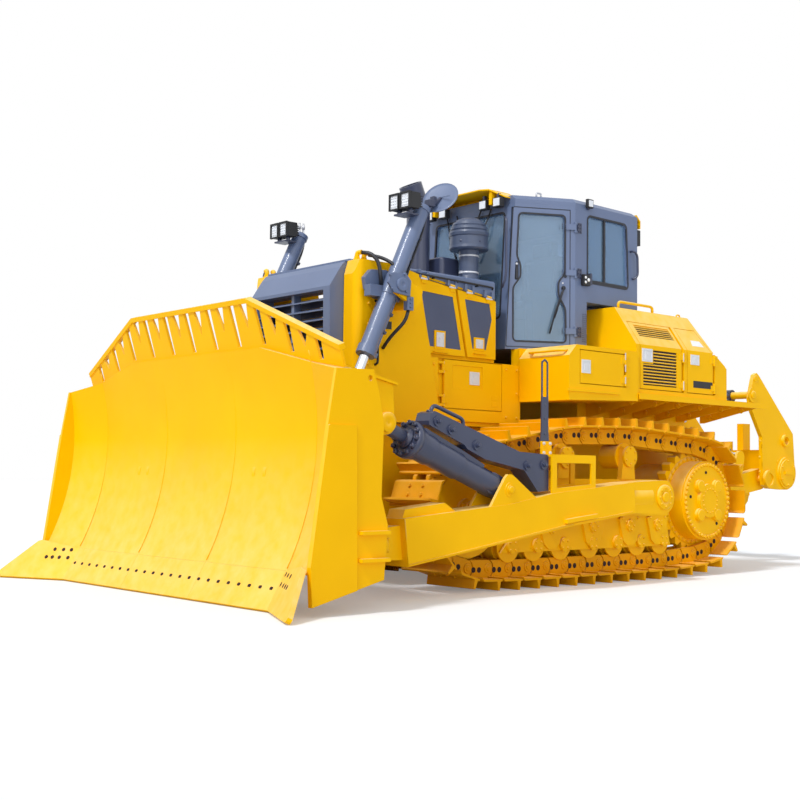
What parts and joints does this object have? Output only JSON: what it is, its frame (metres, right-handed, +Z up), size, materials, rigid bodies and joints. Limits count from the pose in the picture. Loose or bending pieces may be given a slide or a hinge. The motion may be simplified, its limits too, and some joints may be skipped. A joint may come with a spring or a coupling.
{
  "type": "crawler bulldozer",
  "caption": "Large crawler bulldozer with a semi-U blade on outside push arms, an enclosed cab with opening doors and a single-shank rear ripper.",
  "frame": {"origin": "on the ground, midway along the machine's overall length and width", "axes": "+X forward towards the blade, +Y to the machine's left, +Z up"},
  "size_m": [9.1793, 4.7228, 3.9877],
  "materials": {
    "yellow_paint": "gloss",
    "track_paint": "satin",
    "grey_paint": "satin",
    "dark_paint": "satin",
    "rod_steel": "polished",
    "window_glass": "clear",
    "interior_black": "matte",
    "engine_grey": "matte"
  },
  "bodies": {
    "chassis": {"main_frame": "yellow_paint", "belly_guard": "yellow_paint", "engine": "engine_grey", "equalizer_bar": "yellow_paint", "radiator_guard": "yellow_paint", "grille": "grey_paint", "hood": "grey_paint", "exhaust_stack": "grey_paint", "air_cleaner": "grey_paint", "engine_housing": "yellow_paint", "fenders": "yellow_paint", "decks": "yellow_paint", "rear_housing": "yellow_paint", "cab_shell": "grey_paint", "cab_roof": "grey_paint", "cab_visors": "yellow_paint", "cab_glass": "window_glass", "operator_station": "interior_black", "track_frame_left": "yellow_paint", "track_frame_right": "yellow_paint", "track_left": "track_paint", "track_right": "track_paint", "final_drives": "yellow_paint", "idlers": "yellow_paint", "rollers_left": "yellow_paint", "rollers_right": "yellow_paint", "cylinder_yokes": "yellow_paint", "ripper_mount": "yellow_paint"},
    "push_arms": {"push_arm_left": "yellow_paint", "push_arm_right": "yellow_paint", "brace_guards": "dark_paint"},
    "blade": {"blade": "yellow_paint", "cutting_edges": "yellow_paint", "spill_guard": "yellow_paint"},
    "brace_barrels": {"brace_barrels": "dark_paint"},
    "brace_rods": {"brace_rods": "rod_steel"},
    "lift_barrels": {"lift_barrels": "grey_paint", "work_lamps": "grey_paint"},
    "lift_rods": {"lift_rods": "rod_steel"},
    "ripper_arm": {"ripper_arm": "yellow_paint"},
    "ripper_carriage": {"ripper_carriage": "yellow_paint", "ripper_shank": "yellow_paint"},
    "ripper_lift_barrels": {"ripper_lift_barrels": "dark_paint"},
    "ripper_lift_rods": {"ripper_lift_rods": "rod_steel"},
    "ripper_tilt_cylinders": {"ripper_tilt_barrels": "dark_paint", "ripper_tilt_rods": "rod_steel"},
    "cab_door_left": {"cab_door_left": "grey_paint", "door_glass_left": "window_glass"},
    "cab_door_right": {"cab_door_right": "grey_paint", "door_glass_right": "window_glass"},
    "lower_door_left": {"lower_door_left": "yellow_paint"},
    "lower_door_right": {"lower_door_right": "yellow_paint"},
    "fender_door_left": {"fender_door_left": "yellow_paint"},
    "fender_door_right": {"fender_door_right": "yellow_paint"},
    "housing_front_door_left": {"housing_front_door_left": "yellow_paint"},
    "housing_front_door_right": {"housing_front_door_right": "yellow_paint"},
    "housing_rear_door_left": {"housing_rear_door_left": "yellow_paint"},
    "housing_rear_door_right": {"housing_rear_door_right": "yellow_paint"},
    "upper_doors_left": {"upper_doors_left": "yellow_paint"},
    "upper_doors_right": {"upper_doors_right": "yellow_paint"}
  },
  "joints": [
    {"name": "blade_lift", "type": "hinge", "parent": "chassis", "child": "push_arms", "pos_m": [-0.37, 0, 0.84], "axis": [0, -1, 0], "range_deg": [-6, 15]},
    {"name": "blade_pitch", "type": "hinge", "parent": "push_arms", "child": "blade", "pos_m": [3.3, 0, 0.475], "axis": [0, -1, 0], "range_deg": [-5, 5]},
    {"name": "brace_swing", "type": "hinge", "parent": "push_arms", "child": "brace_barrels", "pos_m": [1.83, 0, 0.909], "axis": [0, -1, 0], "range_deg": [-1.1, 1.1]},
    {"name": "brace_slide", "type": "slide", "parent": "brace_barrels", "child": "brace_rods", "axis": [0.9344, 0, 0.3561], "range_m": [-0.0833, 0.0833]},
    {"name": "lift_cylinder_swing", "type": "hinge", "parent": "chassis", "child": "lift_barrels", "pos_m": [2.448, 0, 2.695], "axis": [0, -1, 0], "range_deg": [-5.22, 12.74]},
    {"name": "lift_cylinder_slide", "type": "slide", "parent": "lift_barrels", "child": "lift_rods", "axis": [0.4219, 0, -0.9066], "range_m": [-0.8802, 0.3533]},
    {"name": "ripper_lift", "type": "hinge", "parent": "chassis", "child": "ripper_arm", "pos_m": [-2.78, 0, 0.833], "axis": [0, 1, 0], "range_deg": [-55, 6]},
    {"name": "ripper_level", "type": "hinge", "parent": "ripper_arm", "child": "ripper_carriage", "pos_m": [-3.977, 0, 1.031], "axis": [0, 1, 0], "range_deg": [-6.5, 55.5]},
    {"name": "ripper_tilt_swing", "type": "hinge", "parent": "chassis", "child": "ripper_tilt_cylinders", "pos_m": [-2.446, 0, 1.861], "axis": [0, 1, 0], "range_deg": [-55.5, 6.5]},
    {"name": "ripper_lift_swing", "type": "hinge", "parent": "chassis", "child": "ripper_lift_barrels", "pos_m": [-2.56, 0, 1.56], "axis": [0, 1, 0], "range_deg": [-31.73, 3.64]},
    {"name": "ripper_lift_slide", "type": "slide", "parent": "ripper_lift_barrels", "child": "ripper_lift_rods", "axis": [-0.9634, 0, -0.2682], "range_m": [-0.0579, 0.5147]},
    {"name": "cab_door_left_hinge", "type": "hinge", "parent": "chassis", "child": "cab_door_left", "pos_m": [0, 0.95, 2.3], "axis": [0, 0, 1], "range_deg": [0, 80]},
    {"name": "lower_door_left_hinge", "type": "hinge", "parent": "chassis", "child": "lower_door_left", "pos_m": [1.646, 0.745, 1.66], "axis": [0, 0, -1], "range_deg": [0, 100]},
    {"name": "upper_doors_left_hinge", "type": "hinge", "parent": "chassis", "child": "upper_doors_left", "pos_m": [0.86, 0.665, 2.766], "axis": [0.9931, 0, 0.1175], "range_deg": [0, 90]},
    {"name": "fender_door_left_hinge", "type": "hinge", "parent": "chassis", "child": "fender_door_left", "pos_m": [-0.238, 1.4, 1.9], "axis": [0, 0, 1], "range_deg": [0, 100]},
    {"name": "housing_front_door_left_hinge", "type": "hinge", "parent": "chassis", "child": "housing_front_door_left", "pos_m": [-1.236, 1.375, 1.93], "axis": [0, 0, 1], "range_deg": [0, 90]},
    {"name": "housing_rear_door_left_hinge", "type": "hinge", "parent": "chassis", "child": "housing_rear_door_left", "pos_m": [-1.8, 1.375, 1.93], "axis": [0, 0, 1], "range_deg": [0, 90]},
    {"name": "cab_door_right_hinge", "type": "hinge", "parent": "chassis", "child": "cab_door_right", "pos_m": [0, -0.95, 2.3], "axis": [0, 0, -1], "range_deg": [0, 80]},
    {"name": "lower_door_right_hinge", "type": "hinge", "parent": "chassis", "child": "lower_door_right", "pos_m": [1.646, -0.745, 1.66], "axis": [0, 0, 1], "range_deg": [0, 100]},
    {"name": "upper_doors_right_hinge", "type": "hinge", "parent": "chassis", "child": "upper_doors_right", "pos_m": [0.86, -0.665, 2.766], "axis": [-0.9931, 0, -0.1175], "range_deg": [0, 90]},
    {"name": "fender_door_right_hinge", "type": "hinge", "parent": "chassis", "child": "fender_door_right", "pos_m": [-0.238, -1.4, 1.9], "axis": [0, 0, -1], "range_deg": [0, 100]},
    {"name": "housing_front_door_right_hinge", "type": "hinge", "parent": "chassis", "child": "housing_front_door_right", "pos_m": [-1.236, -1.375, 1.93], "axis": [0, 0, -1], "range_deg": [0, 90]},
    {"name": "housing_rear_door_right_hinge", "type": "hinge", "parent": "chassis", "child": "housing_rear_door_right", "pos_m": [-1.8, -1.375, 1.93], "axis": [0, 0, -1], "range_deg": [0, 90]}
  ],
  "couplings": [
    {"joint": "brace_swing", "follows": "blade_pitch", "ratio": 0.1799},
    {"joint": "brace_slide", "follows": "blade_pitch", "m_per_rad": -0.9312},
    {"joint": "lift_cylinder_swing", "follows": "blade_lift", "ratio": 0.836},
    {"joint": "lift_cylinder_slide", "follows": "blade_lift", "m_per_rad": -3.3545},
    {"joint": "ripper_level", "follows": "ripper_lift", "ratio": -1},
    {"joint": "ripper_tilt_swing", "follows": "ripper_lift", "ratio": 1},
    {"joint": "ripper_lift_swing", "follows": "ripper_lift", "ratio": 0.5732},
    {"joint": "ripper_lift_slide", "follows": "ripper_lift", "m_per_rad": -0.5341}
  ]
}
